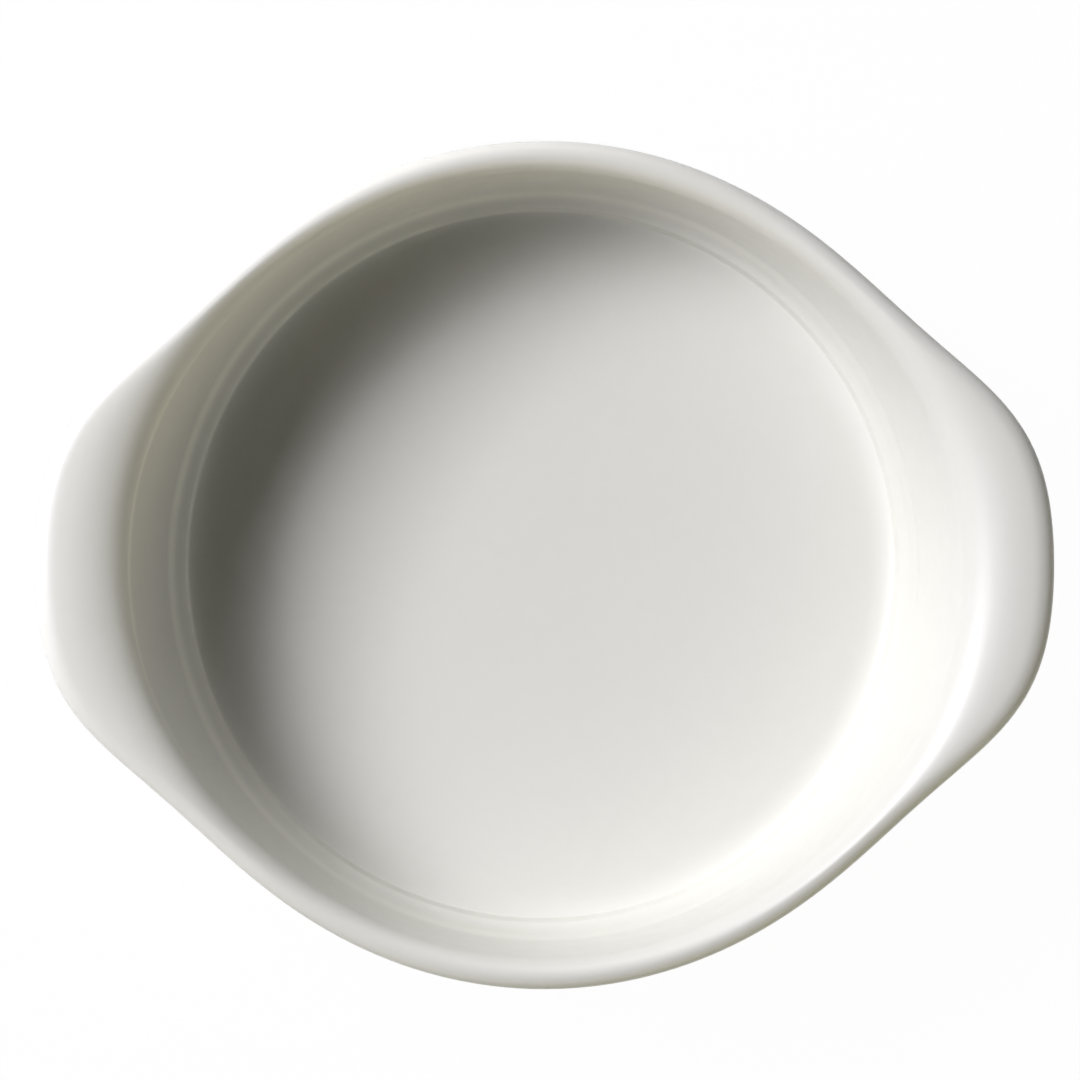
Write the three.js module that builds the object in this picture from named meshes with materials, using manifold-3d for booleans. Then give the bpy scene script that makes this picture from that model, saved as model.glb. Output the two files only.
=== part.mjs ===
// Gratin dish: a round stoneware bowl with two lug handles and a bare foot ring, under a coat of glaze.
// Millimetres, +Z up, +X through the handles. The origin is the centre of the plane that it stands on.

import * as THREE from "three";
import { mergeVertices } from "three/addons/utils/BufferGeometryUtils.js";
import Module from "manifold-3d";

// Overall sizes, over the glaze
const RIM_DIAMETER = 160; // across the round part of the rim
const RIM_HEIGHT = 45; // from the standing plane to the top of the rim between the handles
const LUG_REACH = 15.8; // how far each handle stands out past the round rim
const LUG_RISE = 4.5; // how far each handle stands up above the rim

// The inside of the bowl
const FLOOR_THICKNESS = 6; // from the underside of the base to the edge of the floor
const FLOOR_DISH = 0.8; // how far the middle of the floor lies below its edge
const LOW_COVE_WIDTH = 7.1; // the gentle curve from the floor to the step of the lower ring, seen from above
const LOW_COVE_RISE = 1.2; // the same curve, seen from the side
const STEP_WIDTH = 0.6; // the steep step up to the lower ring, seen from above
const STEP_HEIGHT = 3.4; // the same step, seen from the side
const HIGH_COVE_WIDTH = 3.25; // the slack curve from the lower ring to the upper ring, seen from above
const HIGH_COVE_HEIGHT = 9; // the same curve, seen from the side
const HIGH_COVE_TURN = 50; // degrees that it turns through before it stands upright
const WALL_LEAN = 2.1; // how far the wall leans out between the upper ring and the mouth

// The rim on the plain sides
const RIM_WIDTH = 5.6; // from the mouth line to the outside
const RIM_OUTER_ROLL = 2.4; // width of the rounding from the crest to the outside
const RIM_OUTER_DROP = 2.4; // height of that rounding
const RIM_INNER_DROP = 3.4; // height of the rounding from the crest to the mouth line
const RIM_INNER_TURN = 70; // degrees that it turns through

// The mouth widens towards the handles
const MOUTH_BULGE = 4; // how much further out the mouth line lies at a handle
const MOUTH_BULGE_WIDTH = 83; // width of the bulge at half its reach
const MOUTH_FLANK = 2.8; // how squarely the bulge ends

// The lug handles
const LUG_WIDTH = 74; // width at half the reach
const LUG_FLANK = 3.7; // how squarely the lug ends
const LUG_THICKNESS = 5.2;
const LUG_OUTER_ROLL = 3.8; // width of the rounding from the crest to the tip
const LUG_OUTER_DROP = 2.4; // height of that rounding
const LUG_INNER_DROP = 6.6; // height of the slope from the crest to the mouth line
const LUG_INNER_TURN = 82; // degrees that it turns through
const LUG_UNDER_ROLL = 3.6; // width of the rounding under the tip
const LUG_FILLET = 6; // between the underside of the lug and the wall

// The outside of the bowl
const WALL_THICKNESS = 5;
const HEEL_WIDTH = 16; // the curve from the wall to the base, seen from below
const HEEL_HEIGHT = 14; // the same curve, seen from the side

// The foot ring
const FOOT_SETBACK = 4.3; // from the end of the heel's curve in to the ring
const FOOT_WIDTH = 5;
const FOOT_HEIGHT = 2.5; // from the standing plane to the glazed base
const FOOT_BEVEL = 0.7;

// Layers and joints
const GLAZE = 0.5;
const BOND_GAP = 0.05; // between the glaze and the clay
const LUTE_GAP = 0.3; // the joint of liquid clay between two clay pieces
const GLAZE_LINE_GAP = 0.3; // bare strip between the glaze and the foot ring

// Fineness of the curves, in steps
const SEGMENTS = 64;
const LUG_CROWDING = 0.35; // share by which the segments crowd together at the handles
const FLOOR_STEPS = 2;
const LOW_COVE_STEPS = 4;
const HIGH_COVE_STEPS = 3;
const WALL_STEPS = 1;
const ROLL_STEPS = 4;
const FILLET_STEPS = 3;
const HEEL_STEPS = 5;
const MERGE_DISTANCE = 1e-3;

// Radii and heights that follow from the sizes
const RIM_RADIUS = RIM_DIAMETER / 2;
const MOUTH_RADIUS = RIM_RADIUS - RIM_WIDTH;
const COVE_TOP_RADIUS = MOUTH_RADIUS - WALL_LEAN;
const RING_RADIUS = COVE_TOP_RADIUS - HIGH_COVE_WIDTH;
const STEP_RADIUS = RING_RADIUS - STEP_WIDTH;
const FLOOR_RADIUS = STEP_RADIUS - LOW_COVE_WIDTH;
const FLOOR_Z = FOOT_HEIGHT + FLOOR_THICKNESS;
const STEP_Z = FLOOR_Z + LOW_COVE_RISE;
const RING_Z = STEP_Z + STEP_HEIGHT;
const COVE_TOP_Z = RING_Z + HIGH_COVE_HEIGHT;
const LUG_TOP_Z = RIM_HEIGHT + LUG_RISE;
const LUG_UNDERSIDE_Z = LUG_TOP_Z - LUG_THICKNESS;
const FILLET_BOTTOM_Z = LUG_UNDERSIDE_Z - LUG_FILLET;
const HEEL_TOP_RADIUS = COVE_TOP_RADIUS + WALL_THICKNESS;
const HEEL_TOP_Z = FOOT_HEIGHT + HEEL_HEIGHT;
const BASE_RADIUS = HEEL_TOP_RADIUS - HEEL_WIDTH;
const FOOT_RADIUS = BASE_RADIUS - FOOT_SETBACK;
const CLAY_DEPTH = GLAZE + BOND_GAP;
const LUTING_RADIUS = RIM_RADIUS + MOUTH_BULGE; // the handles are stuck to the rim along this circle
const LUG_HALF_ANGLE = Math.asin(LUG_WIDTH / 2 / (RIM_RADIUS + LUG_REACH / 2));
const MOUTH_HALF_ANGLE = Math.asin(MOUTH_BULGE_WIDTH / 2 / (MOUTH_RADIUS + MOUTH_BULGE / 2));

const wasm = await Module();
wasm.setup();

const point = (radius, z) => new THREE.Vector2(radius, z);

// A stretch of a section, its number of steps, and how far it follows the lug (1) or the mouth (0)
const stretch = (curve, steps, from, to = from) => ({ curve, steps, from, to });
const FOLLOWS_MOUTH = 0;
const FOLLOWS_LUG = 1;

// Part of an ellipse about a centre, from one angle to the next in quarter turns
function quarter(centre, width, height, fromTurn, toTurn) {
  const from = (fromTurn * Math.PI) / 2;
  const to = (toTurn * Math.PI) / 2;
  return new THREE.EllipseCurve(centre.x, centre.y, width, height, from, to, toTurn < fromTurn);
}

// The floor and the two coves with the rings above them, which are the same all round
function floorAndCoves() {
  const middle = point(0, FLOOR_Z - FLOOR_DISH);
  const halfway = point(FLOOR_RADIUS / 2, FLOOR_Z - FLOOR_DISH);
  const edge = point(FLOOR_RADIUS, FLOOR_Z);
  const floor = new THREE.QuadraticBezierCurve(middle, halfway, edge);
  const stepFoot = point(STEP_RADIUS, STEP_Z);
  const levelAt = (share) => point(FLOOR_RADIUS + share * LOW_COVE_WIDTH, FLOOR_Z);
  const lowCove = new THREE.CubicBezierCurve(edge, levelAt(1 / 3), levelAt(2 / 3), stepFoot);
  const step = new THREE.LineCurve(stepFoot, point(RING_RADIUS, RING_Z));
  const turn = THREE.MathUtils.degToRad(HIGH_COVE_TURN);
  const width = HIGH_COVE_WIDTH / (1 - Math.cos(turn));
  const height = HIGH_COVE_HEIGHT / Math.sin(turn);
  const highCove = quarter(point(COVE_TOP_RADIUS - width, COVE_TOP_Z), width, height, -HIGH_COVE_TURN / 90, 0);
  return [
    stretch(floor, FLOOR_STEPS, FOLLOWS_MOUTH),
    stretch(lowCove, LOW_COVE_STEPS, FOLLOWS_MOUTH),
    stretch(step, 1, FOLLOWS_MOUTH),
    stretch(highCove, HIGH_COVE_STEPS, FOLLOWS_MOUTH),
  ];
}

// The wall and the rounding over its top, from the upper ring to the outermost point
function wallAndRim(mouthRadius, edgeRadius, topZ, outerRoll, outerDrop, innerDrop, innerTurn) {
  const mouth = point(mouthRadius, topZ - innerDrop);
  const crestRadius = edgeRadius - outerRoll;
  const wall = new THREE.LineCurve(point(COVE_TOP_RADIUS, COVE_TOP_Z), mouth);
  const turn = THREE.MathUtils.degToRad(innerTurn);
  const width = (crestRadius - mouthRadius) / Math.sin(turn);
  const height = innerDrop / (1 - Math.cos(turn));
  const innerRoll = quarter(point(crestRadius, topZ - height), width, height, 1 + innerTurn / 90, 1);
  const outerRollCurve = quarter(point(crestRadius, topZ - outerDrop), outerRoll, outerDrop, 1, 0);
  return [
    stretch(wall, WALL_STEPS, FOLLOWS_MOUTH),
    stretch(innerRoll, ROLL_STEPS, FOLLOWS_MOUTH, FOLLOWS_LUG),
    stretch(outerRollCurve, ROLL_STEPS, FOLLOWS_LUG),
  ];
}

// The heel's curve and the flat of the base, in to the glaze line beside the foot ring
function heelAndBase() {
  const heel = quarter(point(BASE_RADIUS, HEEL_TOP_Z), HEEL_WIDTH, HEEL_HEIGHT, 0, -1);
  const glazeLine = point(FOOT_RADIUS + GLAZE_LINE_GAP, FOOT_HEIGHT);
  const base = new THREE.LineCurve(point(BASE_RADIUS, FOOT_HEIGHT), glazeLine);
  return [stretch(heel, HEEL_STEPS, FOLLOWS_LUG), stretch(base, 1, FOLLOWS_LUG)];
}

// The outside at a handle: under the tip, along the underside, round the fillet and down the wall
function lugOutside() {
  const tipRadius = RIM_RADIUS + LUG_REACH;
  const tip = point(tipRadius - LUG_UNDER_ROLL, LUG_TOP_Z - LUG_OUTER_DROP);
  const mouthRadius = MOUTH_RADIUS + MOUTH_BULGE;
  const mouthZ = LUG_TOP_Z - LUG_INNER_DROP;
  const climb = (FILLET_BOTTOM_Z - COVE_TOP_Z) / (mouthZ - COVE_TOP_Z);
  const wallRadius = THREE.MathUtils.lerp(COVE_TOP_RADIUS, mouthRadius, climb) + WALL_THICKNESS;
  const filletWidth = Math.min(LUG_FILLET, tip.x - wallRadius);
  const filletCentre = point(wallRadius + filletWidth, FILLET_BOTTOM_Z);
  const underRoll = quarter(tip, LUG_UNDER_ROLL, LUG_THICKNESS - LUG_OUTER_DROP, 0, -1);
  const underside = new THREE.LineCurve(point(tip.x, LUG_UNDERSIDE_Z), point(filletCentre.x, LUG_UNDERSIDE_Z));
  const fillet = quarter(filletCentre, filletWidth, LUG_FILLET, 1, 2);
  const wall = new THREE.LineCurve(point(wallRadius, FILLET_BOTTOM_Z), point(HEEL_TOP_RADIUS, HEEL_TOP_Z));
  return [
    stretch(underRoll, ROLL_STEPS, FOLLOWS_LUG),
    stretch(underside, 1, FOLLOWS_LUG),
    stretch(fillet, FILLET_STEPS, FOLLOWS_LUG),
    stretch(wall, 1, FOLLOWS_LUG),
  ];
}

// The straight outside between the handles, with its points at the heights of a handle's curve, less the rise,
// so that a handle keeps its thickness where it runs out along the rim
class WallAtHeightsOf extends THREE.Curve {
  constructor(curve) {
    super();
    this.curve = curve;
  }

  getPoint(t) {
    const { y } = this.curve.getPoint(t);
    const climb = THREE.MathUtils.inverseLerp(HEEL_TOP_Z, FILLET_BOTTOM_Z, y);
    const z = y - LUG_RISE * THREE.MathUtils.clamp(climb, 0, 1);
    const top = RIM_HEIGHT - RIM_OUTER_DROP;
    return point(THREE.MathUtils.mapLinear(z, HEEL_TOP_Z, top, HEEL_TOP_RADIUS, RIM_RADIUS), z);
  }
}

function plainOutside() {
  return lugOutside().map(({ curve, steps }) => stretch(new WallAtHeightsOf(curve), steps, FOLLOWS_LUG));
}

// The two sections of the glazed surface, with as many points each: between the handles, and through one
const plainStretches = [
  ...floorAndCoves(),
  ...wallAndRim(
    MOUTH_RADIUS,
    RIM_RADIUS,
    RIM_HEIGHT,
    RIM_OUTER_ROLL,
    RIM_OUTER_DROP,
    RIM_INNER_DROP,
    RIM_INNER_TURN,
  ),
  ...plainOutside(),
  ...heelAndBase(),
];
const lugStretches = [
  ...floorAndCoves(),
  ...wallAndRim(
    MOUTH_RADIUS + MOUTH_BULGE,
    RIM_RADIUS + LUG_REACH,
    LUG_TOP_Z,
    LUG_OUTER_ROLL,
    LUG_OUTER_DROP,
    LUG_INNER_DROP,
    LUG_INNER_TURN,
  ),
  ...lugOutside(),
  ...heelAndBase(),
];

// The points along a section: the first point, then the end of every step
function pointsOf(stretches) {
  const first = stretches[0].curve.getPoint(0);
  return [first, ...stretches.flatMap(({ curve, steps }) => curve.getPoints(steps).slice(1))];
}

// How far each point of the section follows the lug rather than the mouth
function followsOf(stretches) {
  const share = ({ steps, from, to }) =>
    Array.from({ length: steps }, (_, step) => THREE.MathUtils.lerp(from, to, (step + 1) / steps));
  return [stretches[0].from, ...stretches.flatMap(share)];
}

const plainSection = pointsOf(plainStretches);
const lugSection = pointsOf(lugStretches);
const follows = followsOf(lugStretches);

// 1 on the line through the handles, a half at the half angle, and 0 square to that line
function nearness(angle, halfAngle, flank) {
  const spread = Math.abs(Math.tan(angle)) / Math.tan(halfAngle);
  return 1 / (1 + spread ** flank);
}

// The section at an angle: each point slides out from the plain section to the lug's, and it rises more gently than
// it slides out, along with the mouth's bulge
function sectionAt(angle) {
  const lug = nearness(angle, LUG_HALF_ANGLE, LUG_FLANK);
  const mouth = nearness(angle, MOUTH_HALF_ANGLE, MOUTH_FLANK);
  return plainSection.map((plain, i) => {
    const reach = THREE.MathUtils.lerp(mouth, lug, follows[i]);
    const radius = THREE.MathUtils.lerp(plain.x, lugSection[i].x, reach);
    return point(radius, THREE.MathUtils.lerp(plain.y, lugSection[i].y, mouth));
  });
}

// A section moved into the clay by a depth, square to the surface
function inset(section, depth) {
  return section.map((here, i) => {
    const after = section[i + 1] ?? here;
    const before = section[i - 1] ?? point(-after.x, after.y);
    const along = after.clone().sub(before).normalize();
    return point(here.x + along.y * depth, here.y - along.x * depth);
  });
}

// A lathe whose section changes with the angle. The section runs clockwise, as seen with the axis on its left.
function turned(profileAt) {
  const count = profileAt(0).length;
  const geometry = new THREE.LatheGeometry(profileAt(0), SEGMENTS);
  const position = geometry.attributes.position;
  for (let segment = 0; segment <= SEGMENTS; segment++) {
    const even = (segment / SEGMENTS) * 2 * Math.PI;
    const angle = even - (LUG_CROWDING / 2) * Math.sin(2 * even);
    const profile = profileAt(angle).reverse();
    profile.forEach(({ x, y }, i) => {
      position.setXYZ(segment * count + i, x * Math.cos(angle), x * Math.sin(angle), y);
    });
  }
  geometry.computeVertexNormals();
  return geometry;
}

function solidOf(geometry) {
  const bare = geometry.clone();
  bare.deleteAttribute("normal");
  bare.deleteAttribute("uv");
  const merged = mergeVertices(bare, MERGE_DISTANCE);
  const vertProperties = merged.attributes.position.array;
  const triVerts = new Uint32Array(merged.index.array);
  return new wasm.Manifold(new wasm.Mesh({ numProp: 3, vertProperties, triVerts }));
}

function geometryOf(solid) {
  const { vertProperties, triVerts } = solid.getMesh();
  const geometry = new THREE.BufferGeometry();
  geometry.setAttribute("position", new THREE.BufferAttribute(vertProperties, 3));
  geometry.setIndex(new THREE.BufferAttribute(triVerts, 1));
  geometry.computeVertexNormals();
  return geometry;
}

// The solid under the glazed surface at a depth, closed by a flat underside
function solidBelow(depth, undersideZ) {
  const profileAt = (angle) => {
    const section = inset(sectionAt(angle), depth);
    return [...section, point(section.at(-1).x, undersideZ), point(0, undersideZ)];
  };
  return solidOf(turned(profileAt));
}

// A tall cylinder about the axis, for parting the handles from the bowl along the luted joint
function lutingCylinder(radius) {
  return new THREE.CylinderGeometry(radius, radius, 4 * LUG_TOP_Z, SEGMENTS).rotateX(Math.PI / 2);
}

// Everything on one side of the middle, +1 for the right and -1 for the left
function halfSpace(side) {
  const size = 4 * (RIM_RADIUS + LUG_REACH);
  return new THREE.BoxGeometry(size, size, size).translate((side * size) / 2, 0, 0);
}

function bowl(clay) {
  return geometryOf(clay.intersect(solidOf(lutingCylinder(LUTING_RADIUS - LUTE_GAP / 2))));
}

function handle(clay, side) {
  const outside = clay.subtract(solidOf(lutingCylinder(LUTING_RADIUS + LUTE_GAP / 2)));
  return geometryOf(outside.intersect(solidOf(halfSpace(side))));
}

// The glass layer from the middle of the floor over the rim and handles to the glaze line at the foot
function glazeCoat() {
  return geometryOf(solidBelow(0, FOOT_HEIGHT).subtract(solidBelow(GLAZE, 0)));
}

// The patch of glaze on the underside, inside the foot ring
function baseGlaze() {
  const radius = FOOT_RADIUS - FOOT_WIDTH - GLAZE_LINE_GAP;
  const top = FOOT_HEIGHT + GLAZE;
  return turned(() => [point(0, top), point(radius, top), point(radius, FOOT_HEIGHT), point(0, FOOT_HEIGHT)]);
}

function footRing() {
  const inner = FOOT_RADIUS - FOOT_WIDTH;
  const top = FOOT_HEIGHT + CLAY_DEPTH - LUTE_GAP;
  return turned(() => [
    point(inner, top),
    point(FOOT_RADIUS, top),
    point(FOOT_RADIUS, FOOT_BEVEL),
    point(FOOT_RADIUS - FOOT_BEVEL, 0),
    point(inner + FOOT_BEVEL, 0),
    point(inner, FOOT_BEVEL),
    point(inner, top),
  ]);
}

// Each piece has a material of its own
const bareClay = () => new THREE.MeshStandardMaterial({ color: 0xd2c3aa, roughness: 0.9, metalness: 0 });
const paleGlaze = () => new THREE.MeshStandardMaterial({ color: 0xdcdad2, roughness: 0.25, metalness: 0 });

function piece(name, geometry, material) {
  const mesh = new THREE.Mesh(geometry, material);
  mesh.name = name;
  return mesh;
}

// The whole clay body, before the handles are parted from the bowl
const clay = solidBelow(CLAY_DEPTH, FOOT_HEIGHT + CLAY_DEPTH);

const dish = new THREE.Group();
dish.add(
  piece("bowl", bowl(clay), bareClay()),
  piece("handle_left", handle(clay, -1), bareClay()),
  piece("handle_right", handle(clay, 1), bareClay()),
  piece("foot_ring", footRing(), bareClay()),
  piece("glaze_coat", glazeCoat(), paleGlaze()),
  piece("base_glaze", baseGlaze(), paleGlaze()),
);

export default dish;
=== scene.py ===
# %% [markdown]
# # A round gratin dish under a pale glaze
# The dish is a stoneware bowl with two lug handles, dipped in a warm white glaze that leaves only the foot
# ring bare. The CAD frame holds its plain solids at their real size. This script gives the dish its fine
# glazed surface, its finishes, soft studio light and a camera that looks straight down into it.
#
# Lengths are metres in the frame of the CAD model: +X runs through the handles, +Z is up, and the origin is
# on the table, under the middle of the dish.

# %% Load the frame
import math

import bpy
import numpy as np
from mathutils import Matrix, Vector


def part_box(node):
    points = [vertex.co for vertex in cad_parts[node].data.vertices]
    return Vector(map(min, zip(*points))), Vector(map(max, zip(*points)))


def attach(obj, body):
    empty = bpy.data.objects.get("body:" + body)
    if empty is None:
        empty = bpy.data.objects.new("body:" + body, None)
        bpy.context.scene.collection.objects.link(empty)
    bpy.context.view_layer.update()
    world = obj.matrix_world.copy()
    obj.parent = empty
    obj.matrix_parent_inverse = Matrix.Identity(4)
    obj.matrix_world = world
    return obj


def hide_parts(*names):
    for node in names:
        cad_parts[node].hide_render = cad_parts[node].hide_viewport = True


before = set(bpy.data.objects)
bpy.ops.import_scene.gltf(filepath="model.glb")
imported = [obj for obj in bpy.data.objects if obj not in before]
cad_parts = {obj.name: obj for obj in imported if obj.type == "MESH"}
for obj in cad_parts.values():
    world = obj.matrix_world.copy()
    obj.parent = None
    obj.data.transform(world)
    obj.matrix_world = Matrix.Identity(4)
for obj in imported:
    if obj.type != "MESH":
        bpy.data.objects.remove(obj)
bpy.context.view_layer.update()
scene = bpy.context.scene
print("CAD nodes:", ", ".join(sorted(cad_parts)))

# %% [markdown]
# ## Outer sizes, read from the frame
# The glaze is the outermost layer, so the box of its CAD node gives the reach of the handles along X, the
# round rim along Y, the top of the handles and the height of the base over the table. Sizes could all be
# typed in again here, but reading them keeps the fine surface exactly as large as the solid that it stands
# for.

# %% Outer sizes
MM = 0.001


def box_in_mm(node):
    """The lowest and highest corners of a CAD node in millimetres."""
    low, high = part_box(node)
    return low / MM, high / MM


coat_low, coat_high = box_in_mm("glaze_coat")
foot_high = box_in_mm("foot_ring")[1]
patch_high = box_in_mm("base_glaze")[1]
TIP_RADIUS = coat_high.x
RIM_RADIUS = coat_high.y
LUG_TOP_Z = coat_high.z
BASE_Z = coat_low.z
FOOT_RADIUS = foot_high.x
print(f"handles reach {TIP_RADIUS:.1f} mm, the rim {RIM_RADIUS:.1f} mm, the top is at {LUG_TOP_Z:.1f} mm")

# %% [markdown]
# ## The section of the dish
# A thrown dish is one drawn line turned about its axis, and this one is two: the section between the
# handles, and the section through a handle. Both run from the middle of the floor along a gentle low cove,
# up a steep step to the lower ring, up a slack high cove to the upper ring, up the wall, over the rim and
# down the outside to the glaze line by the foot. The surface could be sculpted by hand, but a drawn section
# keeps each rounding at its real size.
#
# A point here is a radius and a height in millimetres.

# %% Sizes of the section
LUG_RISE = 4.5
RIM_Z = LUG_TOP_Z - LUG_RISE
FLOOR_THICKNESS = 6.0
FLOOR_Z = BASE_Z + FLOOR_THICKNESS
FLOOR_DISH = 0.8
LOW_COVE_WIDTH, LOW_COVE_RISE = 7.1, 1.2
STEP_WIDTH, STEP_HEIGHT = 0.6, 3.4
HIGH_COVE_WIDTH, HIGH_COVE_HEIGHT = 3.25, 9.0
HIGH_COVE_TURN = 50.0
WALL_LEAN = 2.1
WALL_THICKNESS = 5.0
RIM_WIDTH = 5.6
MOUTH_RADIUS = RIM_RADIUS - RIM_WIDTH
MOUTH_BULGE = 4.0
UPPER_RING_RADIUS = MOUTH_RADIUS - WALL_LEAN
LOWER_RING_RADIUS = UPPER_RING_RADIUS - HIGH_COVE_WIDTH
STEP_RADIUS = LOWER_RING_RADIUS - STEP_WIDTH
FLOOR_RADIUS = STEP_RADIUS - LOW_COVE_WIDTH
LOWER_RING_Z = FLOOR_Z + LOW_COVE_RISE + STEP_HEIGHT
UPPER_RING_Z = LOWER_RING_Z + HIGH_COVE_HEIGHT
print(f"floor {FLOOR_RADIUS:.1f} mm, rings {LOWER_RING_RADIUS:.1f} and {UPPER_RING_RADIUS:.1f} mm, "
      f"mouth {MOUTH_RADIUS:.1f} mm")

# %% Lines and roundings


def even(steps):
    """Evenly spaced shares from 0 to 1."""
    return np.linspace(0, 1, steps + 1)


def straight(start, stop, shares):
    """Points on a line, at shares of its length."""
    start, stop = np.array(start), np.array(stop)
    return start + np.outer(shares, stop - start)


def rounding(centre, width, height, start, stop, shares):
    """Points on part of an ellipse between two angles in degrees, at shares of the turn."""
    angle = np.radians(start + np.array(shares) * (stop - start))
    return np.column_stack([centre[0] + width * np.cos(angle), centre[1] + height * np.sin(angle)])


def joined(stretches):
    """Stretches that meet end to end as one run of points, without the repeated ends."""
    return np.concatenate([stretches[0]] + [stretch[1:] for stretch in stretches[1:]])


print("a line in three points:", straight((0, 0), (1, 1), even(2)).tolist())

# %% Floor and coves
across = even(24)
floor = np.column_stack([FLOOR_RADIUS * across, FLOOR_Z - FLOOR_DISH * (1 - across**2)])
up_the_cove = even(30)
low_cove_radius = FLOOR_RADIUS + LOW_COVE_WIDTH * up_the_cove
low_cove = np.column_stack([low_cove_radius, FLOOR_Z + LOW_COVE_RISE * up_the_cove**3])
step_up = straight(low_cove[-1], (LOWER_RING_RADIUS, LOWER_RING_Z), even(10))
sweep = math.radians(HIGH_COVE_TURN)
high_width = HIGH_COVE_WIDTH / (1 - math.cos(sweep))
high_height = HIGH_COVE_HEIGHT / math.sin(sweep)
high_centre = (UPPER_RING_RADIUS - high_width, UPPER_RING_Z)
high_cove = rounding(high_centre, high_width, high_height, -HIGH_COVE_TURN, 0, even(40))
print(f"the coves climb from {FLOOR_Z:.1f} to {UPPER_RING_Z:.1f} mm")

# %% Wall and rim
RIM_ROLL, RIM_OUTER_DROP, RIM_INNER_DROP, RIM_TURN = 2.4, 2.4, 3.4, 70.0
LUG_ROLL, LUG_OUTER_DROP, LUG_INNER_DROP, LUG_TURN = 3.8, 2.4, 6.6, 82.0
WALL_CROWDING = 1.5


def wall_and_rim(mouth, edge, top, roll, outer_drop, inner_drop, turn):
    """The wall, the slope from the mouth line up to the crest, and the rounding from there to the edge."""
    crest = edge - roll
    wall = straight((UPPER_RING_RADIUS, UPPER_RING_Z), (mouth, top - inner_drop), even(20) ** WALL_CROWDING)
    width = (crest - mouth) / math.sin(math.radians(turn))
    height = inner_drop / (1 - math.cos(math.radians(turn)))
    inner = rounding((crest, top - height), width, height, 90 + turn, 90, even(26))
    outer = rounding((crest, top - outer_drop), roll, outer_drop, 90, 0, even(16))
    return [wall, inner, outer]


rim_top = wall_and_rim(MOUTH_RADIUS, RIM_RADIUS, RIM_Z, RIM_ROLL, RIM_OUTER_DROP, RIM_INNER_DROP, RIM_TURN)
lug_mouth = MOUTH_RADIUS + MOUTH_BULGE
lug_top = wall_and_rim(lug_mouth, TIP_RADIUS, LUG_TOP_Z, LUG_ROLL, LUG_OUTER_DROP, LUG_INNER_DROP, LUG_TURN)
print(f"the rim's crest is at {RIM_Z:.1f} mm and the handles' at {LUG_TOP_Z:.1f} mm")

# %% Outside of a handle
LUG_THICKNESS = 5.2
LUG_UNDER_ROLL = 3.6
LUG_FILLET = 6.0
HEEL_WIDTH, HEEL_HEIGHT = 16.0, 14.0
HEEL_RADIUS = UPPER_RING_RADIUS + WALL_THICKNESS
HEEL_Z = BASE_Z + HEEL_HEIGHT
underside_z = LUG_TOP_Z - LUG_THICKNESS
fillet_z = underside_z - LUG_FILLET
climb = (fillet_z - UPPER_RING_Z) / (LUG_TOP_Z - LUG_INNER_DROP - UPPER_RING_Z)
wall_radius = UPPER_RING_RADIUS + (lug_mouth - UPPER_RING_RADIUS) * climb + WALL_THICKNESS
tip = (TIP_RADIUS - LUG_UNDER_ROLL, LUG_TOP_Z - LUG_OUTER_DROP)
lug_outside = [
    rounding(tip, LUG_UNDER_ROLL, LUG_THICKNESS - LUG_OUTER_DROP, 0, -90, even(14)),
    straight((tip[0], underside_z), (wall_radius + LUG_FILLET, underside_z), even(1)),
    rounding((wall_radius + LUG_FILLET, fillet_z), LUG_FILLET, LUG_FILLET, 90, 180, even(14)),
    straight((wall_radius, fillet_z), (HEEL_RADIUS, HEEL_Z), even(12)),
]
print(f"a handle is {LUG_THICKNESS} mm thick and meets the wall at {wall_radius:.1f} mm")

# %% Outside between the handles


def plain_wall(stretch):
    """The same points slid onto the plain wall, lowered by the handles' rise."""
    share = np.clip((stretch[:, 1] - HEEL_Z) / (fillet_z - HEEL_Z), 0, 1)
    height = stretch[:, 1] - LUG_RISE * share
    lean = (RIM_RADIUS - HEEL_RADIUS) / (RIM_Z - RIM_OUTER_DROP - HEEL_Z)
    return np.column_stack([HEEL_RADIUS + lean * (height - HEEL_Z), height])


plain_outside = [plain_wall(stretch) for stretch in lug_outside]
print(f"the plain wall leans out from {HEEL_RADIUS:.1f} to {RIM_RADIUS:.1f} mm")

# %% Heel, base and glaze line
GLAZE = 0.5
GLAZE_LINE_GAP = 0.3
base_radius = HEEL_RADIUS - HEEL_WIDTH
glaze_line = FOOT_RADIUS + GLAZE_LINE_GAP
bead = GLAZE / 2
heel_and_base = [
    rounding((base_radius, HEEL_Z), HEEL_WIDTH, HEEL_HEIGHT, 0, -90, even(24)),
    straight((base_radius, BASE_Z), (glaze_line + bead, BASE_Z), even(4)),
    rounding((glaze_line + bead, BASE_Z + bead), bead, bead, -90, -180, even(5)),
]
inside = joined([floor, low_cove, step_up, high_cove])
plain_section = joined([inside, *rim_top, *plain_outside, *heel_and_base])
lug_section = joined([inside, *lug_top, *lug_outside, *heel_and_base])
print(f"each section has {len(plain_section)} points and ends at {glaze_line:.1f} mm")
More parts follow.
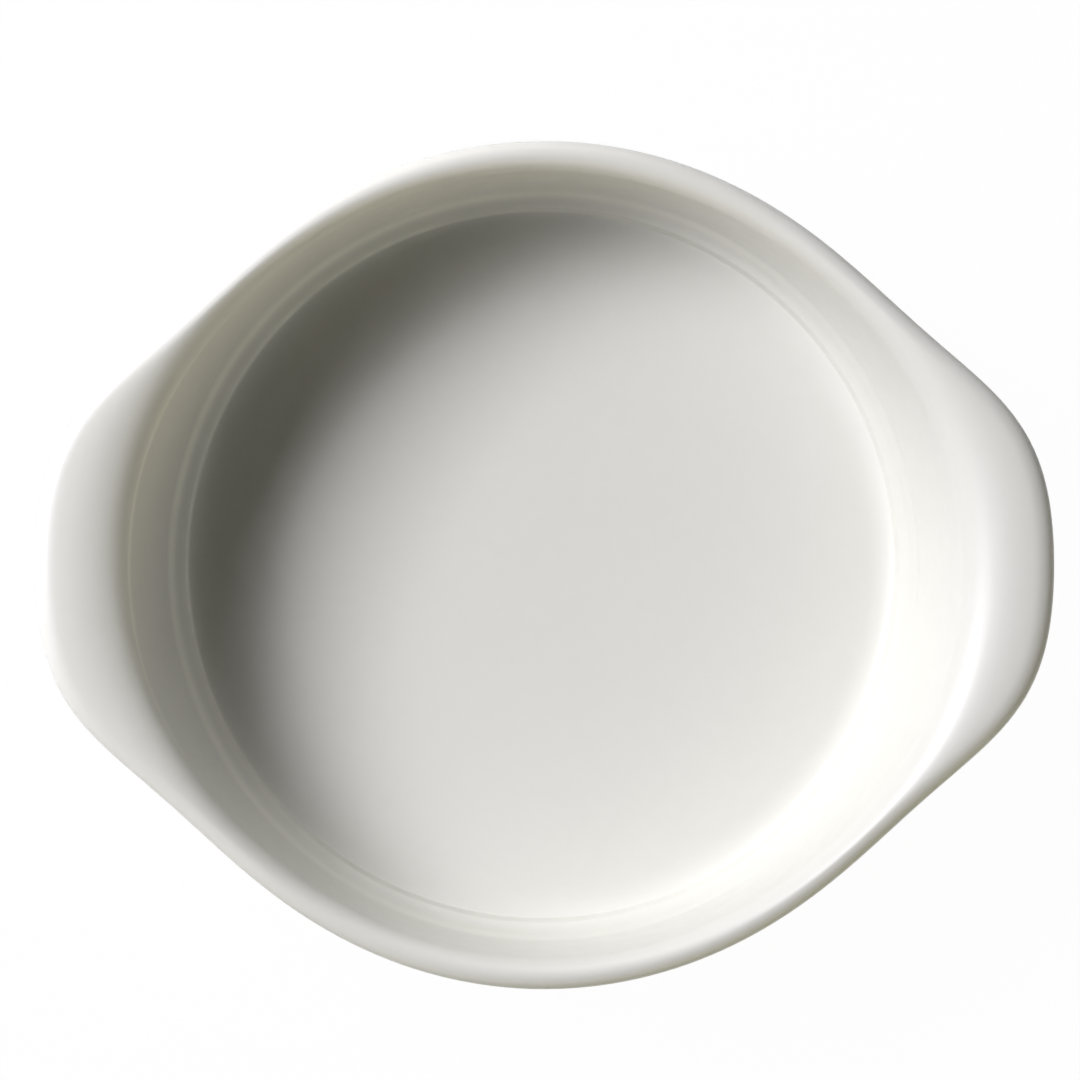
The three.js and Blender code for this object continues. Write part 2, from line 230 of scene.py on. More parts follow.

# %% [markdown]
# ## How the two sections meet
# At each angle round the dish the surface lies between the two sections. The wall and the mouth line widen
# gently towards a handle, while the edge of the handle starts more squarely. So each point carries a share,
# 0 where its reach follows the mouth and 1 where it follows the edge, and the slope of the rim runs from
# one to the other. Every point rises with the mouth's gentler swell, so that the rim has no kink.
#
# The glaze colour also carries painted highlights: paler lines over the two rings of the inside and along
# the mouth line by the handles, standing in for the gloss that these edges catch on the shaded side. The
# upper ring stands out a little as well. These shares are worked out here, from the same points, and could
# be painted on by hand, but then they would not follow a changed section.

# %% Shares along the section
wall_end = len(joined([inside, rim_top[0]])) - 1
slope_steps = len(rim_top[1]) - 1
follow = np.zeros(len(plain_section))
follow[wall_end:wall_end + slope_steps + 1] = even(slope_steps)
follow[wall_end + slope_steps:] = 1
print(f"the slope of the rim runs over {slope_steps} of {len(follow) - 1} steps")

# %% Rings and mouth line
# How wide the painted highlights on the rings and the mouth line run, and how high the upper ring is
# raised.
LOWER_RING_WIDTH = 2.0
UPPER_RING_WIDTH, UPPER_RING_HEIGHT = 2.6, 0.4
UPPER_RING_SETBACK = 0.55
MOUTH_LINE_WIDTH = 0.5
MOUTH_LINE_STRENGTH = 0.8
ROUND_OFF = 1e-6


def bell(distance, width):
    """1 on the line, falling away softly over the width."""
    return np.exp(-((distance / width) ** 2))


def lengths_along(section):
    """How far along the section each point lies."""
    run = np.linalg.norm(np.diff(section, axis=0), axis=1)
    return np.concatenate([[0], np.cumsum(run)])


def ring(at_radius, width):
    """1 on the ring at a radius inside the dish, falling away along the section."""
    along_plain = lengths_along(plain_section)
    first = np.argmax(plain_section[:, 0] >= at_radius - ROUND_OFF)
    return bell(along_plain - along_plain[first], width)


# Painted highlight: these shares mark where the glaze colour is painted paler over the two rings and the
# mouth line. The upper ring's share also raises that ring.
lower_ring = ring(LOWER_RING_RADIUS - STEP_WIDTH / 2, LOWER_RING_WIDTH)
upper_ring = ring(UPPER_RING_RADIUS - UPPER_RING_SETBACK, UPPER_RING_WIDTH)
rings = lower_ring + upper_ring
ring_height = UPPER_RING_HEIGHT * upper_ring
along = lengths_along(lug_section)
mouth_line = MOUTH_LINE_STRENGTH * bell(along - along[wall_end], MOUTH_LINE_WIDTH)
print(f"the section is {along[-1]:.0f} mm long, {along[wall_end]:.0f} mm of it inside the mouth")

# %% [markdown]
# ## The underside of the glaze
# The glaze is a real layer, half a millimetre of glass on the clay. Each section is offset into the clay by
# that much and walked back to the axis, so that the turned surface is a closed skin with a thickness. The
# Solidify modifier could do the same, but it would know nothing of the coarser steps that are enough in
# here. The front is offset the other way along the upper ring, which raises it.

# %% Offset the sections
BACK_STEP = 4


def offset_inwards(section, depth):
    """The section moved into the clay, square to its own direction."""
    direction = np.gradient(section, axis=0)
    direction /= np.linalg.norm(direction, axis=1)[:, None]
    depths = np.broadcast_to(depth, len(section))[:, None]
    moved = section + depths * np.column_stack([direction[:, 1], -direction[:, 0]])
    moved[0, 0] = 0
    return moved


body_end = len(plain_section) - len(heel_and_base[2]) + 1
back_rows = np.arange(0, body_end, BACK_STEP)[::-1]


def with_back(section):
    """A section with its raised ring, followed by the back of its glaze, as one closed outline."""
    front = offset_inwards(section, -ring_height)
    back = offset_inwards(section[:body_end], GLAZE)
    return np.concatenate([front, back[back_rows]])


plain_outline = with_back(plain_section)
lug_outline = with_back(lug_section)
back_none = np.zeros(len(back_rows))
follow_outline = np.concatenate([follow, follow[back_rows]])
rings_outline = np.concatenate([rings, back_none])
mouth_outline = np.concatenate([mouth_line, back_none])
print(f"{len(back_rows)} of {len(plain_outline)} points lie on the back of the glaze")

# %% [markdown]
# ## Nodes written as Python
# Both the shape and the finishes are node trees. Linking sockets one by one is hard to read, so a wire
# stands for one socket here: a sum of wires and numbers adds the Math nodes by itself, and every other node
# comes from one method that takes its type, its settings and its sockets.

# %% Wires and graphs


class Wire:
    """One output socket. Sums with other wires or numbers add Math nodes."""

    def __init__(self, graph, socket):
        self.graph = graph
        self.socket = socket

    def out(self, name):
        """Another output of the same node."""
        return Wire(self.graph, socket_named(self.socket.node.outputs, name))

    def math(self, operation, *others):
        """A Math node on this wire and others."""
        values = [self, *others]
        return self.graph.node("ShaderNodeMath", {"operation": operation}, dict(enumerate(values)))

    def __add__(self, other):
        return self.math("ADD", other)

    def __mul__(self, other):
        return self.math("MULTIPLY", other)

    def __sub__(self, other):
        return self.math("SUBTRACT", other)

    def __truediv__(self, other):
        return self.math("DIVIDE", other)

    def __pow__(self, other):
        return self.math("POWER", other)

    def __rsub__(self, other):
        return self * -1 + other

    def __rtruediv__(self, other):
        return self ** -1 * other

    __radd__ = __add__
    __rmul__ = __mul__


def socket_named(sockets, key):
    """A socket by its number, its identifier or its name."""
    if isinstance(key, int):
        return sockets[key]
    matches = [socket for socket in sockets if key in (socket.identifier, socket.name)]
    return matches[0]


class Graph:
    """A node tree, and the one method that adds a node to it."""

    def __init__(self, tree):
        self.tree = tree
        self.tree.nodes.clear()

    def node(self, kind, settings=None, sockets=None, output=0):
        """Adds a node, sets it, fills or links its sockets, and gives the wire of one output."""
        node = self.tree.nodes.new(kind)
        for name, value in (settings or {}).items():
            setattr(node, name, value)
        for key, value in (sockets or {}).items():
            socket = socket_named(node.inputs, key)
            if isinstance(value, Wire):
                self.tree.links.new(value.socket, socket)
            else:
                socket.default_value = value
        return Wire(self, socket_named(node.outputs, output)) if node.outputs else node


print("nodes can be written as sums of wires")

# %% [markdown]
# ## The turning tree
# A lathe turns one section about an axis. The Screw modifier does that too, but this dish needs a section
# that changes with the angle, so Geometry Nodes make a grid instead, with one column of points for each
# angle. Each point looks up its row in the two sections and stops between them, by how near the column is
# to a handle. That nearness is a smooth bump over the angle, with its own width and squareness for the
# mouth and the edge. The tree also stores a painted highlight for the rings and the mouth line, which is
# strongest on the shaded wall under the key softbox and fades out on the lit wall opposite.

# %% Inputs of the turning tree
turning = bpy.data.node_groups.new("turned_between_two_sections", "GeometryNodeTree")
TURNING_INPUTS = {
    "Sections": "NodeSocketGeometry",
    "Segments": "NodeSocketInt",
    "Crowding": "NodeSocketFloat",
    "Edge Half Angle": "NodeSocketFloat",
    "Edge Squareness": "NodeSocketFloat",
    "Mouth Half Angle": "NodeSocketFloat",
    "Mouth Squareness": "NodeSocketFloat",
    "Shaded Side": "NodeSocketFloat",
    "Finish": "NodeSocketMaterial",
}
turning_sockets = {}
for name, kind in TURNING_INPUTS.items():
    socket = turning.interface.new_socket(name, in_out="INPUT", socket_type=kind)
    turning_sockets[name] = socket.identifier
turning.interface.new_socket("Piece", in_out="OUTPUT", socket_type="NodeSocketGeometry")
print("inputs:", ", ".join(TURNING_INPUTS))

# %% Grid, angle and nearness
graph = Graph(turning)
given = graph.node("NodeGroupInput")
sections = given.out("Sections")
rows = graph.node("GeometryNodeAttributeDomainSize", {"component": "MESH"}, {0: sections}, "Point Count")
columns = given.out("Segments") + 1
grid = graph.node("GeometryNodeMeshGrid", sockets={"Vertices X": columns, "Vertices Y": rows})
index = graph.node("GeometryNodeInputIndex")
column = (index / rows).math("FLOOR")
row = index - column * rows
evenly = column / given.out("Segments") * math.tau
angle = evenly - (evenly * 2).math("SINE") * given.out("Crowding") * 0.5
slope = angle.math("TANGENT").math("ABSOLUTE")


def nearness(name):
    """1 at a handle and 0 between the handles, with a half at the half angle."""
    spread = slope / given.out(f"{name} Half Angle").math("TANGENT")
    return 1 / (1 + spread ** given.out(f"{name} Squareness"))


near_edge = nearness("Edge")
near_mouth = nearness("Mouth")
print("the grid has", len(turning.nodes), "nodes so far")

# %% Sections, position and painted highlight
SHADED_SIDE_SHARPNESS = 1.5


def looked_up(name, data_type):
    """An attribute of the sections, at this point's row."""
    attribute = graph.node("GeometryNodeInputNamedAttribute", {"data_type": data_type}, {"Name": name})
    settings = {"data_type": data_type, "domain": "POINT"}
    sockets = {"Geometry": sections, "Value": attribute, "Index": row}
    return graph.node("GeometryNodeSampleIndex", settings, sockets)


near = near_mouth + (near_edge - near_mouth) * looked_up("follow", "FLOAT")
plain = graph.node("ShaderNodeSeparateXYZ", sockets={0: looked_up("plain", "FLOAT_VECTOR")})
lug = graph.node("ShaderNodeSeparateXYZ", sockets={0: looked_up("lug", "FLOAT_VECTOR")})
reach = plain + (lug - plain) * near
height = plain.out("Z") + (lug.out("Z") - plain.out("Z")) * near_mouth
turned_x = reach * angle.math("COSINE")
turned_y = reach * angle.math("SINE")
position = graph.node("ShaderNodeCombineXYZ", sockets={"X": turned_x, "Y": turned_y, "Z": height})
# Painted highlight: the rings and the mouth line are made paler, most on the shaded wall and not at all on
# the lit wall across from it.
facing_shaded_side = (angle - given.out("Shaded Side")).math("COSINE")
side_share = (facing_shaded_side * 0.5 + 0.5) ** SHADED_SIDE_SHARPNESS
painted_highlight = (looked_up("rings", "FLOAT") + looked_up("mouth_line", "FLOAT") * near_mouth) * side_share
print("the section's rows are placed by angle")

# %% Close the surface
MERGE_DISTANCE = 2e-6
placed = graph.node("GeometryNodeSetPosition", sockets={"Geometry": grid, "Position": position})
stored = graph.node(
    "GeometryNodeStoreNamedAttribute",
    {"data_type": "FLOAT", "domain": "POINT"},
    {"Geometry": placed, "Name": "painted_highlight", "Value": painted_highlight},
)
closed = graph.node("GeometryNodeMergeByDistance", sockets={"Geometry": stored, "Distance": MERGE_DISTANCE})
facing_out = graph.node("GeometryNodeFlipFaces", sockets={0: closed})
smooth = graph.node("GeometryNodeSetShadeSmooth", sockets={"Geometry": facing_out})
real = graph.node("GeometryNodeRealizeInstances", sockets={"Geometry": smooth})
dressed = graph.node("GeometryNodeSetMaterial", sockets={"Geometry": real, "Material": given.out("Finish")})
graph.node("NodeGroupOutput", sockets={0: dressed})
print("the turning tree has", len(turning.nodes), "nodes")

# %% [markdown]
# ## The glaze
# The glaze is an opaque, slightly warm white with a satin gloss. On the real dish it is never quite even:
# it clouds softly over some centimetres and it shows the potter's turning as faint rings. A picture texture
# could hold that, but noise on the object's own coordinates has no seams and follows the dish in any light.
# On top of that, the colour is mixed towards a paler one along the rings and the mouth line on the shaded
# side, as a painted highlight that the turning tree stores.

# %% Colours and gloss of the glaze
GLAZE_COLOUR = (0.718, 0.709, 0.655, 1)
CLOUD_COLOUR = (0.701, 0.693, 0.634, 1)
# The paler colour of the painted highlights on the rings and the mouth line.
PAINTED_HIGHLIGHT_COLOUR = (0.90, 0.89, 0.80, 1)
GLAZE_ROUGHNESS = 0.43
GLAZE_IOR, GLAZE_SPECULAR = 1.5, 0.35
GLAZE_COAT = 0.18
GLAZE_COAT_ROUGHNESS = 0.22
glaze = bpy.data.materials.new("warm_white_glaze")
glaze.use_nodes = True
print("glaze colour", GLAZE_COLOUR[:3])

# %% Clouding, painted highlights and turning rings
CLOUD_SCALE, CLOUD_CONTRAST = 28.0, 1.6
MOTTLE_SCALE, MOTTLE_CONTRAST = 260.0, 0.7
TURNING_SCALE = 620.0
TURNING_WANDER_X, TURNING_WANDER_Y = 0.04, 0.03
PEEL_SCALE = 900.0
graph = Graph(glaze.node_tree)
place = graph.node("ShaderNodeTexCoord", output="Object")
x = graph.node("ShaderNodeSeparateXYZ", sockets={0: place})
y = x.out("Y")
z = x.out("Z")
from_axis = (x * x + y * y) ** 0.5


def noise(graph, vector, scale, detail):
    """Soft noise between 0 and 1."""
    return graph.node("ShaderNodeTexNoise", sockets={"Vector": vector, "Scale": scale, "Detail": detail})


cloud = noise(graph, place, CLOUD_SCALE, detail=3.0)
mottle = noise(graph, place, MOTTLE_SCALE, detail=2.0)
wander = x * TURNING_WANDER_X + y * TURNING_WANDER_Y
turned = graph.node("ShaderNodeCombineXYZ", sockets={"X": from_axis, "Y": wander, "Z": z})
rings_of_turning = noise(graph, turned, TURNING_SCALE, detail=1.0)
peel = noise(graph, place, PEEL_SCALE, detail=1.0)
# The painted highlight along the rings and the mouth line, as stored by the turning tree.
painted_highlight_share = graph.node("ShaderNodeAttribute", {"attribute_name": "painted_highlight"}, output="Fac")
uneven = (cloud - 0.5) * CLOUD_CONTRAST + (mottle - 0.5) * MOTTLE_CONTRAST + 0.5
clouding = graph.node("ShaderNodeClamp", sockets={"Value": uneven})
print("the glaze's patterns take", len(glaze.node_tree.nodes), "nodes")

# %% Glaze shader
TURNING_SHARE, PEEL_SHARE = 0.7, 0.3
GLAZE_BUMP, GLAZE_BUMP_HEIGHT = 0.35, 0.00008
CLOUD_DULLING, MOTTLE_DULLING = 0.12, 0.08
COAT_MOTTLE = 0.12


def mixed_colour(graph, share, first, second):
    """The first colour where the share is 0, the second where it is 1."""
    sockets = {"Factor_Float": share, "A_Color": first, "B_Color": second}
    return graph.node("ShaderNodeMix", {"data_type": "RGBA"}, sockets, "Result_Color")


clouded = mixed_colour(graph, clouding, GLAZE_COLOUR, CLOUD_COLOUR)
# Painted highlight: paler colour over the rings and the mouth line on the shaded side.
coloured = mixed_colour(graph, painted_highlight_share, clouded, PAINTED_HIGHLIGHT_COLOUR)
dulling = (cloud - 0.5) * CLOUD_DULLING + (mottle - 0.5) * MOTTLE_DULLING
relief = rings_of_turning * TURNING_SHARE + peel * PEEL_SHARE
bump_sockets = {"Strength": GLAZE_BUMP, "Distance": GLAZE_BUMP_HEIGHT, "Height": relief}
bump = graph.node("ShaderNodeBump", sockets=bump_sockets)
shader = graph.node(
    "ShaderNodeBsdfPrincipled",
    sockets={
        "Base Color": coloured,
        "Roughness": dulling + GLAZE_ROUGHNESS,
        "IOR": GLAZE_IOR,
        "Specular IOR Level": GLAZE_SPECULAR,
        "Coat Weight": (mottle - 0.5) * COAT_MOTTLE + GLAZE_COAT,
        "Coat Roughness": GLAZE_COAT_ROUGHNESS,
        "Normal": bump,
    },
)
graph.node("ShaderNodeOutputMaterial", sockets={"Surface": shader})
print("glaze shader:", len(glaze.node_tree.nodes), "nodes")

# %% [markdown]
# ## The bare clay
# Only the foot ring shows the body of the dish: buff stoneware, dry and slightly gritty, with dark grains.
# Wiping the glaze off before firing leaves it a little stained. The bowl and the handles are of the same
# clay under their glaze. Noise gives the stain and the grit, and the cells of a Voronoi texture give the
# grains, which could also be scattered as bumps of their own, but they are far too small for that.

# %% Stain, grit and grains
STAIN_SCALE, GRIT_SCALE, GRAIN_SCALE = 90.0, 1500.0, 700.0
GRAIN_CORE, GRAIN_EDGE, GRAIN_STRENGTH = 0.12, 0.2, 0.75
clay = bpy.data.materials.new("bare_buff_clay")
clay.use_nodes = True
graph = Graph(clay.node_tree)
place = graph.node("ShaderNodeTexCoord", output="Object")
stain = noise(graph, place, STAIN_SCALE, detail=4.0)
grit = noise(graph, place, GRIT_SCALE, detail=3.0)
cells = graph.node("ShaderNodeTexVoronoi", sockets={"Vector": place, "Scale": GRAIN_SCALE})
grain_range = {"From Min": GRAIN_CORE, "From Max": GRAIN_EDGE, "To Min": GRAIN_STRENGTH, "To Max": 0.0}
grains = graph.node("ShaderNodeMapRange", sockets={"Value": cells, **grain_range})
print("the clay's patterns take", len(clay.node_tree.nodes), "nodes")

# %% Clay shader
CLAY_COLOUR = (0.62, 0.50, 0.36, 1)
PALE_CLAY = (0.74, 0.65, 0.52, 1)
GRAIN_COLOUR = (0.30, 0.21, 0.14, 1)
STAIN_SHARE, GRIT_SHARE = 0.6, 0.4
CLAY_BUMP, CLAY_BUMP_HEIGHT, GRAIN_PIT = 0.6, 0.0002, 0.3
CLAY_ROUGHNESS, STAIN_DULLING = 0.78, 0.2
body_colour = mixed_colour(graph, stain * STAIN_SHARE + grit * GRIT_SHARE, CLAY_COLOUR, PALE_CLAY)
grained = mixed_colour(graph, grains * stain, body_colour, GRAIN_COLOUR)
relief = grit - grains * GRAIN_PIT
bump_sockets = {"Strength": CLAY_BUMP, "Distance": CLAY_BUMP_HEIGHT, "Height": relief}
bump = graph.node("ShaderNodeBump", sockets=bump_sockets)
dryness = CLAY_ROUGHNESS + (stain - 0.5) * STAIN_DULLING
shader = graph.node(
    "ShaderNodeBsdfPrincipled",
    sockets={"Base Color": grained, "Roughness": dryness, "Normal": bump},
)
graph.node("ShaderNodeOutputMaterial", sockets={"Surface": shader})
print("clay shader:", len(clay.node_tree.nodes), "nodes")

# %% [markdown]
# ## Turn a piece
# A piece starts as nothing but the points of its outline, with both sections and the shares stored on them
# as attributes. The turning tree reads these and makes the surface. The result is then made a plain mesh,
# because the export keeps meshes and not modifiers.

# %% Outline of a piece


def outline_mesh(name, plain, lug, shares):
    """A mesh of bare points that carries both sections in metres, and the shares along them."""
    mesh = bpy.data.meshes.new(name)
    mesh.from_pydata([(0, 0, 0)] * len(plain), [], [])
    for section_name, section in (("plain", plain), ("lug", lug)):
        vectors = np.column_stack([section[:, 0], np.zeros(len(section)), section[:, 1]]) * MM
        attribute = mesh.attributes.new(section_name, "FLOAT_VECTOR", "POINT")
        attribute.data.foreach_set("vector", vectors.ravel())
    for share_name, values in shares.items():
        mesh.attributes.new(share_name, "FLOAT", "POINT").data.foreach_set("value", values)
    return mesh


print("an outline carries the attributes plain and lug, and its shares")

# %% Turn an outline into a piece
LUG_HALF_WIDTH, EDGE_SQUARENESS = 37.0, 3.7
MOUTH_HALF_WIDTH, MOUTH_SQUARENESS = 41.5, 2.8
LUG_HALF_ANGLE = math.asin(LUG_HALF_WIDTH / ((RIM_RADIUS + TIP_RADIUS) / 2))
MOUTH_HALF_ANGLE = math.asin(MOUTH_HALF_WIDTH / (MOUTH_RADIUS + MOUTH_BULGE / 2))
COLUMN_CROWDING = 0.3
# The bearing of the shaded wall, where the painted highlight is strongest.
SHADED_SIDE = math.radians(150)


def turned_piece(name, plain, lug, shares, segments, material):
    """A closed piece, turned between the two sections and made a plain mesh."""
    piece = bpy.data.objects.new(name, outline_mesh(f"{name}_outline", plain, lug, shares))
    scene.collection.objects.link(piece)
    modifier = piece.modifiers.new("turning", "NODES")
    modifier.node_group = turning
    inputs = {
        "Segments": segments,
        "Crowding": COLUMN_CROWDING,
        "Edge Half Angle": LUG_HALF_ANGLE,
        "Edge Squareness": EDGE_SQUARENESS,
        "Mouth Half Angle": MOUTH_HALF_ANGLE,
        "Mouth Squareness": MOUTH_SQUARENESS,
        "Shaded Side": SHADED_SIDE,
        "Finish": material,
    }
    for input_name, value in inputs.items():
        modifier[turning_sockets[input_name]] = value
    evaluated = bpy.context.evaluated_depsgraph_get()
    mesh = bpy.data.meshes.new_from_object(piece.evaluated_get(evaluated), depsgraph=evaluated)
    piece.modifiers.clear()
    piece.data = mesh
    mesh.name = name
    if mesh.materials[0] is None:
        mesh.materials.pop(index=0)
    return piece


half_angles = [round(math.degrees(half), 1) for half in (LUG_HALF_ANGLE, MOUTH_HALF_ANGLE)]
print("half angles of a handle's edge and of the mouth's swell:", half_angles)

# %% Glaze skin
SKIN_SEGMENTS = 256
CUBIC_CENTIMETRES = 1e6


def volume(piece):
    """The volume inside a closed mesh in cubic centimetres, below zero if its faces point inwards."""
    mesh = piece.data
    mesh.calc_loop_triangles()
    corners = np.array([mesh.vertices[i].co for triangle in mesh.loop_triangles for i in triangle.vertices])
    first, second, third = corners.reshape(-1, 3, 3).transpose(1, 0, 2)
    return float(np.sum(first * np.cross(second, third))) / 6 * CUBIC_CENTIMETRES


shares = {"follow": follow_outline, "rings": rings_outline, "mouth_line": mouth_outline}
skin = turned_piece("glaze_skin", plain_outline, lug_outline, shares, SKIN_SEGMENTS, glaze)
skin_volume = volume(skin)
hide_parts("glaze_coat")
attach(skin, "root")
print(f"glaze skin: {len(skin.data.loop_triangles)} triangles, {skin_volume:.1f} cm3 of glaze")

# %% [markdown]
# ## The foot ring and the glazed base
# The dish stands on a low ring of bare clay, so that the glaze can't stick to the kiln shelf. Inside the
# ring the base is glazed again, and the glaze ends in a soft bead just short of the clay. A bevelled
# cylinder would do for the ring, but as plain turned outlines without handles both come out of the tree
# that is there already. Their two sections are the same.

# %% Foot ring
FOOT_WIDTH = 5.0
FOOT_BEVEL = 0.7
FOOT_SINK = 0.05
FOOT_SEGMENTS = 160
clay_z = BASE_Z + GLAZE + FOOT_SINK
foot_inner = FOOT_RADIUS - FOOT_WIDTH
foot_outline = joined([
    straight((foot_inner, clay_z), (FOOT_RADIUS, clay_z), even(3)),
    straight((FOOT_RADIUS, clay_z), (FOOT_RADIUS, FOOT_BEVEL), even(3)),
    rounding((FOOT_RADIUS - FOOT_BEVEL, FOOT_BEVEL), FOOT_BEVEL, FOOT_BEVEL, 0, -90, even(8)),
    straight((FOOT_RADIUS - FOOT_BEVEL, 0), (foot_inner + FOOT_BEVEL, 0), even(8)),
    rounding((foot_inner + FOOT_BEVEL, FOOT_BEVEL), FOOT_BEVEL, FOOT_BEVEL, -90, -180, even(8)),
    straight((foot_inner, FOOT_BEVEL), (foot_inner, clay_z), even(3)),
])


def plain_shares(outline):
    """No handle and no painted highlight along an outline."""
    none = np.zeros(len(outline))
    return {"follow": none, "rings": none, "mouth_line": none}


foot_shares = plain_shares(foot_outline)
foot = turned_piece("foot_band", foot_outline, foot_outline, foot_shares, FOOT_SEGMENTS, clay)
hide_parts("foot_ring")
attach(foot, "root")
print(f"foot band: {volume(foot):.1f} cm3, {foot_inner:.1f} to {FOOT_RADIUS:.1f} mm")

# %% Glazed base
patch_radius = patch_high.x
patch_outline = joined([
    straight((0, patch_high.z), (patch_radius - bead, patch_high.z), even(12)),
    rounding((patch_radius - bead, BASE_Z + bead), bead, bead, 90, -90, even(10)),
    straight((patch_radius - bead, BASE_Z), (0, BASE_Z), even(24)),
])
patch_shares = plain_shares(patch_outline)
patch = turned_piece("base_patch", patch_outline, patch_outline, patch_shares, FOOT_SEGMENTS, glaze)
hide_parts("base_glaze")
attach(patch, "root")
print(f"base patch: {volume(patch):.2f} cm3, {patch_radius:.1f} mm in radius")

# %% [markdown]
# ## Clay under the glaze
# The bowl and the handles keep their CAD solids, because the glaze hides them. Finer ones could be turned
# too, but nobody would see them. They get the same clay as the foot ring, so that a cut or an open corner
# would still show the right material.

# %% Clay on the covered solids
for node in ("bowl", "handle_left", "handle_right"):
    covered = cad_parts[node]
    covered.data.materials.clear()
    covered.data.materials.append(clay)
print("clay on bowl, handle_left and handle_right")

# %% [markdown]
# ## Floor and background
# The dish stands on a wide sheet of paper that sweeps up into a backdrop all round, as in a studio. Paper
# under enough light to look pure white would also send too much light back at the dish, so it is a plain
# pale grey, and only rays that come straight from the camera, from a gloss or through glass see it as
# white. A little of the real paper is left in, so that the dish keeps its shadow.

# %% White for the camera
WHITE_SHARE = 0.98
PAPER_GREY = (0.8, 0.8, 0.8, 1)
PAPER_WHITE = (1, 1, 1, 1)


def seen_directly(graph):
    """1 on rays from the camera, from a gloss or through glass, else 0."""
    path = graph.node("ShaderNodeLightPath", output="Is Camera Ray")
    return path.math("MAXIMUM", path.out("Is Glossy Ray")).math("MAXIMUM", path.out("Is Transmission Ray"))


table_white = bpy.data.materials.new("white_table")
table_white.use_nodes = True
graph = Graph(table_white.node_tree)
lit = graph.node("ShaderNodeBsdfDiffuse", sockets={"Color": PAPER_GREY})
white = graph.node("ShaderNodeEmission", sockets={"Color": PAPER_WHITE, "Strength": 1.0})
whiteness = seen_directly(graph) * WHITE_SHARE
mixed = graph.node("ShaderNodeMixShader", sockets={0: whiteness, 1: lit, 2: white})
graph.node("ShaderNodeOutputMaterial", sockets={"Surface": mixed})
print("white table shader:", len(table_white.node_tree.nodes), "nodes")

# %% Table and backdrop
TABLE_MIDDLE = 0.05
TABLE_RADIUS = 2.4
SWEEP_RADIUS = 0.8
BACKDROP_TOP = 3.2
BACKDROP_SIDES = 72
TABLE_CLEARANCE = 0.00005
sweep_up = rounding((TABLE_RADIUS, SWEEP_RADIUS), SWEEP_RADIUS, SWEEP_RADIUS, -90, 0, even(12))
upright = straight(sweep_up[-1], (TABLE_RADIUS + SWEEP_RADIUS, BACKDROP_TOP), even(2))
flat = straight((TABLE_MIDDLE, 0), (TABLE_RADIUS, 0), even(4))
paper = joined([flat, sweep_up, upright])
paper[:, 1] -= TABLE_CLEARANCE
turns = np.linspace(0, math.tau, BACKDROP_SIDES, endpoint=False)
paper_points = [(r * math.cos(turn), r * math.sin(turn), h) for turn in turns for r, h in paper]
paper_faces = [tuple(range(0, len(paper_points), len(paper)))]
for side in range(BACKDROP_SIDES):
    here = side * len(paper)
    there = (side + 1) % BACKDROP_SIDES * len(paper)
    for rank in range(len(paper) - 1):
        paper_faces.append((here + rank, here + rank + 1, there + rank + 1, there + rank))
paper_mesh = bpy.data.meshes.new("table")
paper_mesh.from_pydata(paper_points, [], paper_faces)
paper_mesh.shade_smooth()
paper_mesh.materials.append(table_white)
table = bpy.data.objects.new("table", paper_mesh)
scene.collection.objects.link(table)
print(f"table {2 * TABLE_RADIUS:.1f} m across, backdrop {BACKDROP_TOP:.1f} m high")

# %% World
WORLD_COLOUR = (1.0, 0.97, 0.75, 1)
WORLD_STRENGTH = 0.002
world = bpy.data.worlds.new("studio")
world.use_nodes = True
scene.world = world
graph = Graph(world.node_tree)
dim = graph.node("ShaderNodeBackground", sockets={"Color": WORLD_COLOUR, "Strength": WORLD_STRENGTH})
graph.node("ShaderNodeOutputWorld", sockets={"Surface": dim})
print("the ceiling over the backdrop is dim")

# %% [markdown]
# ## Light
# One wide softbox with a bright centre stands high on the left, towards the top of the photograph, and
# lights the floor and the right wall with slightly cool light. The left wall lies in its own soft shadow,
# which a low front panel at the lower right warms a little. A weak back panel lights the rim from behind. A
# picture of a studio round the dish could light it too, but area lamps are what softboxes are, and their
# size sets how soft the edge of the shadow is.

# %% Softboxes
LAMP_DISTANCE = 1.2
LAMP_TARGET = Vector((0, 0, 0.02))
KEY_COLOUR = (0.94, 0.935, 1.0)
FRONT_COLOUR = (1.0, 0.95, 0.6)
BACK_COLOUR = (0.95, 0.98, 0.98)


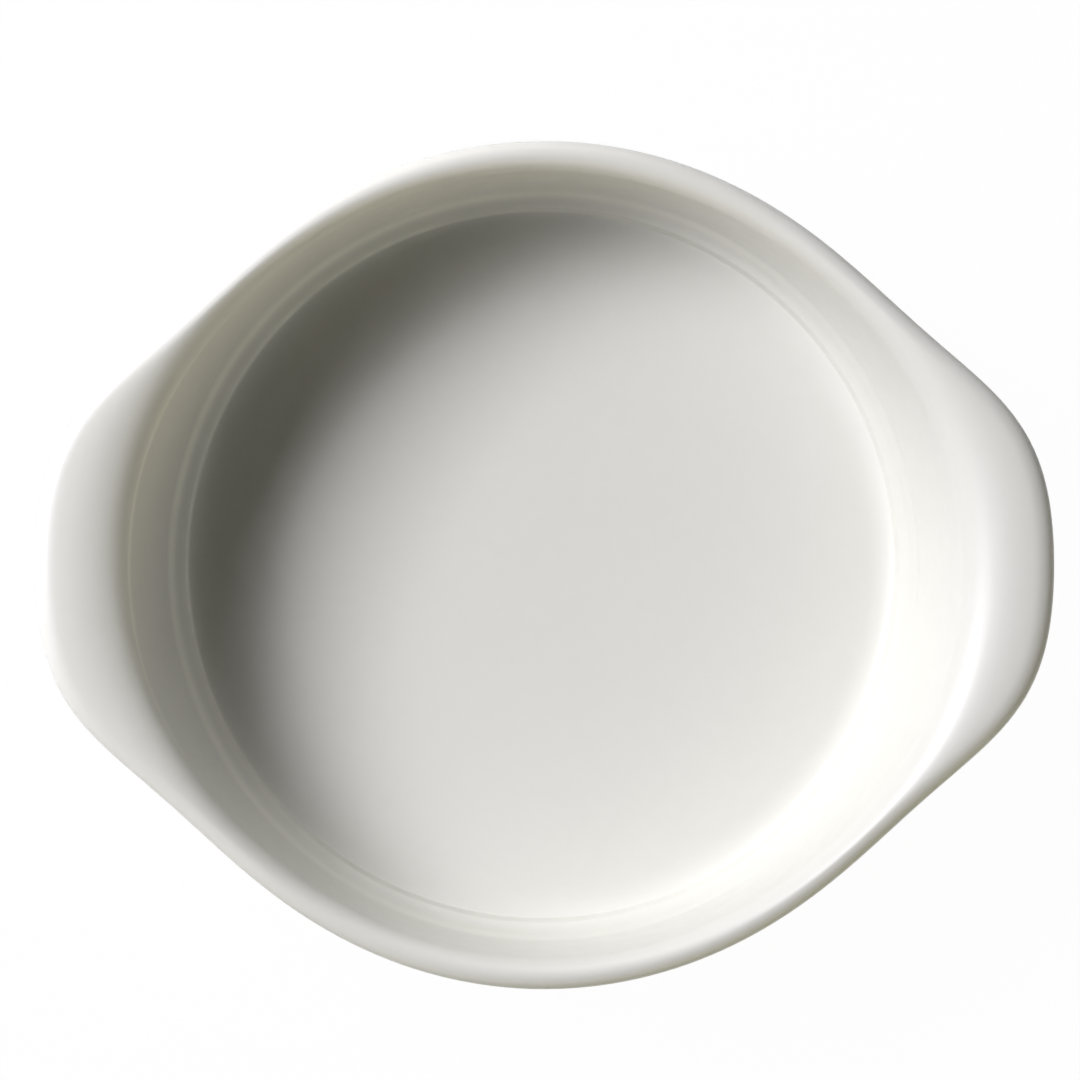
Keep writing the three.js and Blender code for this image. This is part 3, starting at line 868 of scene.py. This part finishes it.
def softbox(name, bearing, height_angle, width, height, power, colour):
    """An area lamp that faces the dish. The bearing turns from +X towards +Y, both angles in degrees."""
    turn, lift = math.radians(bearing), math.radians(height_angle)
    away = Vector((math.cos(lift) * math.cos(turn), math.cos(lift) * math.sin(turn), math.sin(lift)))
    lamp = bpy.data.lights.new(name, "AREA")
    lamp.shape = "RECTANGLE"
    lamp.size = width
    lamp.size_y = height
    lamp.energy = power
    lamp.color = colour
    holder = bpy.data.objects.new(name, lamp)
    holder.location = LAMP_TARGET + away * LAMP_DISTANCE
    holder.rotation_euler = (-away).to_track_quat("-Z", "Y").to_euler()
    scene.collection.objects.link(holder)


softbox("key_softbox", 155, 43, width=0.9, height=0.55, power=11.9, colour=KEY_COLOUR)
softbox("key_centre", 154, 41, width=0.4, height=0.4, power=8.8, colour=KEY_COLOUR)
softbox("front_panel", 300, 9, width=0.8, height=0.3, power=3.2, colour=FRONT_COLOUR)
softbox("back_panel", 105, 20, width=0.6, height=0.3, power=1.7, colour=BACK_COLOUR)
print("lamps:", ", ".join(lamp.name for lamp in bpy.data.lights))

# %% [markdown]
# ## Camera
# The photograph looks straight down from a little over a metre, from a little to the left. The rim is 850
# pixels wide in a frame of 1080, and the lens follows from that. The frame could be set by shifting the
# lens, but the camera is turned towards the point in the middle of the frame instead, so it needs no shift.

# %% Camera over the dish
FRAME_PIXELS = 1080
RIM_PIXELS = 850
MIDDLE_PIXELS_X, MIDDLE_PIXELS_Y = -5, 25
CAMERA_HEIGHT, CAMERA_X = 1.2, -0.020
SENSOR_WIDTH = 36
rim_plane = RIM_Z * MM
pixel = 2 * RIM_RADIUS * MM / RIM_PIXELS
aim = Vector((MIDDLE_PIXELS_X * pixel, MIDDLE_PIXELS_Y * pixel, rim_plane))
eye = Vector((CAMERA_X, 0.0, rim_plane + CAMERA_HEIGHT))
forward = (aim - eye).normalized()
right = forward.cross(Vector((0, 1, 0))).normalized()
up = right.cross(forward)
lens = bpy.data.cameras.new("overhead")
lens.sensor_width = SENSOR_WIDTH
lens.lens = SENSOR_WIDTH * CAMERA_HEIGHT / (FRAME_PIXELS * pixel)
camera = bpy.data.objects.new("overhead", lens)
camera.matrix_world = Matrix((right, up, -forward)).transposed().to_4x4()
camera.location = eye
scene.collection.objects.link(camera)
scene.camera = camera
scene.view_settings.view_transform = "Standard"
print(f"lens {lens.lens:.0f} mm, {CAMERA_HEIGHT} m above the rim")
